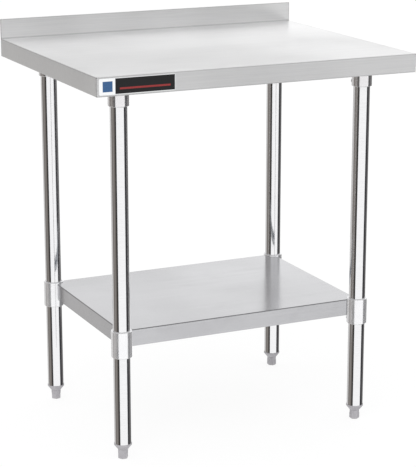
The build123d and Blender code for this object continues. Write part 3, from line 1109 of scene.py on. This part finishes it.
@dataclass
class Studio:
    """A white room with upright flags that only reflections see, a pale floor and a soft lamp."""

    storeys: tuple[Storey, ...] = (
        Storey((
            Band(-147.0, (0.30, 0.29, 0.28)),
            Band(-41.0, (0.62, 0.62, 0.63)),
            Band(37.0, (0.30, 0.30, 0.30)),
            Band(88.0, (0.75, 0.75, 0.75)),
            Band(180.0, (0.80, 0.79, 0.78)),
        ), blur=10.0),
        Storey((
            Band(-168.0, (0.21, 0.19, 0.175)),
            Band(-145.5, (0.048, 0.045, 0.043)),
            Band(-41.0, (1.20, 1.20, 1.20)),
            Band(-12.0, (0.045, 0.045, 0.050)),
            Band(37.0, (0.15, 0.145, 0.145)),
            Band(88.0, (1.04, 1.04, 1.04)),
            Band(136.0, (0.70, 0.69, 0.68)),
            Band(158.0, (0.21, 0.19, 0.175)),
            Band(173.0, (0.33, 0.31, 0.29)),
            Band(180.0, (0.21, 0.19, 0.175)),
        ), rises=(-28.0, -24.0)),
        Storey((
            Band(-147.0, (0.36, 0.35, 0.34)),
            Band(-41.0, (0.05, 0.05, 0.05)),
            Band(37.0, (0.45, 0.45, 0.45)),
            Band(88.0, (1.08, 1.08, 1.08)),
            Band(180.0, (0.22, 0.215, 0.21)),
        ), rises=(-7.5, -5.5), blur=10.0),
        Storey((
            Band(-147.0, (0.62, 0.61, 0.60)),
            Band(-30.0, (1.00, 1.00, 1.00)),
            Band(25.0, (0.70, 0.70, 0.70)),
            Band(60.0, (1.36, 1.36, 1.36)),
            Band(100.0, (1.12, 1.12, 1.12)),
            Band(180.0, (0.60, 0.59, 0.585)),
        ), rises=(3.0, 8.0), blur=14.0),
        Storey((
            Band(0.0, (0.52, 0.52, 0.52)),
            Band(180.0, (0.52, 0.52, 0.52)),
        ), rises=(40.0, 48.0)),
    )
    floor_size: float = 30.0
    floor_colour: Colour = (0.93, 0.93, 0.93)
    floor_glow: float = 0.85
    floor_strength: float = 1.03
    lamp_place: Triple = (-2.2, -3.0, 3.2)
    lamp_aim: Triple = (0.0, 0.0, 0.5)
    lamp_size: float = 2.5
    lamp_power: float = 35.0

    @staticmethod
    def climbed(tree: bpy.types.NodeTree, height: Socket, rises: Pair) -> Socket:
        """How far a direction has climbed from one elevation to another, from 0 to 1.

        Args:
            tree: The world's nodes.
            height: The direction's z.
            rises: The elevations that give 0 and 1, in degrees.

        Returns:
            The value socket.
        """
        share = tree.nodes.new("ShaderNodeMapRange")
        tree.links.new(height, share.inputs["Value"])
        share.inputs["From Min"].default_value = math.sin(math.radians(rises[0]))
        share.inputs["From Max"].default_value = math.sin(math.radians(rises[1]))
        return share.outputs["Result"]

    @staticmethod
    def mixed(tree: bpy.types.NodeTree, share: Socket, first: object, second: Socket) -> Socket:
        """Mix two of the world's colours.

        Args:
            tree: The world's nodes.
            share: How much of the second.
            first: A colour socket, or a plain colour.
            second: A colour socket.

        Returns:
            The colour socket.
        """
        mix = tree.nodes.new("ShaderNodeMix")
        mix.data_type = "RGBA"
        tree.links.new(share, mix.inputs["Factor"])
        if isinstance(first, bpy.types.NodeSocket):
            tree.links.new(first, mix.inputs["A"])
        else:
            mix.inputs["A"].default_value = (*first, 1.0)
        tree.links.new(second, mix.inputs["B"])
        return mix.outputs["Result"]

    def world(self) -> None:
        """Paint the room: plain white to look at, with bands for reflections."""
        world = bpy.data.worlds.new("studio")
        bpy.context.scene.world = world
        world.use_nodes = True
        tree = world.node_tree
        place = tree.nodes.new("ShaderNodeTexCoord")
        split = tree.nodes.new("ShaderNodeSeparateXYZ")
        tree.links.new(place.outputs["Generated"], split.inputs["Vector"])
        angle = tree.nodes.new("ShaderNodeMath")
        angle.operation = Sum.ANGLE.value
        tree.links.new(split.outputs["Y"], angle.inputs[0])
        tree.links.new(split.outputs["X"], angle.inputs[1])
        share = tree.nodes.new("ShaderNodeMapRange")
        share.inputs["From Min"].default_value = -math.pi
        share.inputs["From Max"].default_value = math.pi
        tree.links.new(angle.outputs["Value"], share.inputs["Value"])
        seen: object = (0.0, 0.0, 0.0)
        for storey in self.storeys:
            ramp = tree.nodes.new("ShaderNodeValToRGB")
            storey.fill(ramp.color_ramp)
            tree.links.new(share.outputs["Result"], ramp.inputs["Fac"])
            climbed = self.climbed(tree, split.outputs["Z"], storey.rises)
            seen = self.mixed(tree, climbed, seen, ramp.outputs["Color"])
        path = tree.nodes.new("ShaderNodeLightPath")
        room = self.mixed(tree, path.outputs["Is Glossy Ray"], (1.0, 1.0, 1.0), seen)
        tree.links.new(room, tree.nodes["Background"].inputs["Color"])

    def floor(self) -> None:
        """Lay the pale floor, which reflections don't see."""
        shape = bmesh.new()
        bmesh.ops.create_grid(shape, x_segments=1, y_segments=1, size=self.floor_size / 2)
        mesh = bpy.data.meshes.new("floor")
        shape.to_mesh(mesh)
        shape.free()
        floor = bpy.data.objects.new("floor", mesh)
        bpy.context.scene.collection.objects.link(floor)
        material = bpy.data.materials.new("floor_paper")
        material.use_nodes = True
        tree = material.node_tree
        tree.nodes.remove(tree.nodes["Principled BSDF"])
        matt = tree.nodes.new("ShaderNodeBsdfDiffuse")
        matt.inputs["Color"].default_value = (*self.floor_colour, 1.0)
        glow = tree.nodes.new("ShaderNodeEmission")
        glow.inputs["Strength"].default_value = self.floor_strength
        mix = tree.nodes.new("ShaderNodeMixShader")
        mix.inputs["Fac"].default_value = self.floor_glow
        tree.links.new(matt.outputs["BSDF"], mix.inputs[1])
        tree.links.new(glow.outputs["Emission"], mix.inputs[2])
        tree.links.new(mix.outputs["Shader"], tree.nodes["Material Output"].inputs["Surface"])
        floor.data.materials.append(material)
        floor.visible_glossy = False

    def lamp(self) -> None:
        """Hang one soft square lamp at the front left, which reflections don't see."""
        light = bpy.data.lights.new("key", "AREA")
        light.shape = "SQUARE"
        light.size = self.lamp_size
        light.energy = self.lamp_power
        lamp = bpy.data.objects.new("key", light)
        lamp.location = self.lamp_place
        lamp.rotation_mode = "QUATERNION"
        aim = Vector(self.lamp_aim) - Vector(self.lamp_place)
        lamp.rotation_quaternion = aim.to_track_quat("-Z", "Y")
        lamp.visible_glossy = False
        bpy.context.scene.collection.objects.link(lamp)

    def build(self) -> None:
        """Set the whole studio up."""
        self.world()
        self.floor()
        self.lamp()
        LOG.info("studio: %d storeys of wall", len(self.storeys))


@dataclass(frozen=True)
class Viewpoint:
    """Where the camera stands: outside the front left corner, a little above the top."""

    place: Triple = (-1.6586, -3.5734, 1.4629)
    yaw: float = -25.08
    pitch: float = 14.646
    lens: float = 133.70
    sensor: float = 36.0
    reach: float = 100.0

    def build(self) -> None:
        """Make the scene's camera."""
        data = bpy.data.cameras.new("camera")
        data.lens = self.lens
        data.sensor_width = self.sensor
        data.clip_end = self.reach
        camera = bpy.data.objects.new("camera", data)
        yaw, pitch = math.radians(self.yaw), math.radians(self.pitch)
        level = math.cos(pitch)
        ahead = Vector((-math.sin(yaw) * level, math.cos(yaw) * level, -math.sin(pitch)))
        camera.location = self.place
        camera.rotation_mode = "QUATERNION"
        camera.rotation_quaternion = ahead.to_track_quat("-Z", "Y")
        bpy.context.scene.collection.objects.link(camera)
        bpy.context.scene.camera = camera


# ---------------------------------------------------------------- assembly


def main() -> None:
    """Build and dress the table, then its studio and camera."""
    logging.basicConfig(level=logging.INFO, format="%(name)s: %(message)s")
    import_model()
    zinc = PlatedSteel("zinc_plate", (0.78, 0.79, 0.80), (0.66, 0.67, 0.69)).material()
    galvanised = Galvanised("galvanised", (0.72, 0.74, 0.76), (0.55, 0.57, 0.60)).material()
    Worktop().dress(zinc, galvanised)
    Legs().dress(zinc)
    Undershelf().dress(zinc, galvanised)
    feet = LevellingFeet()
    feet.build(zinc)
    feet.dress()
    Studio().build()
    Viewpoint().build()
    bpy.context.scene.view_settings.view_transform = "Standard"


if __name__ == "__main__":
    main()
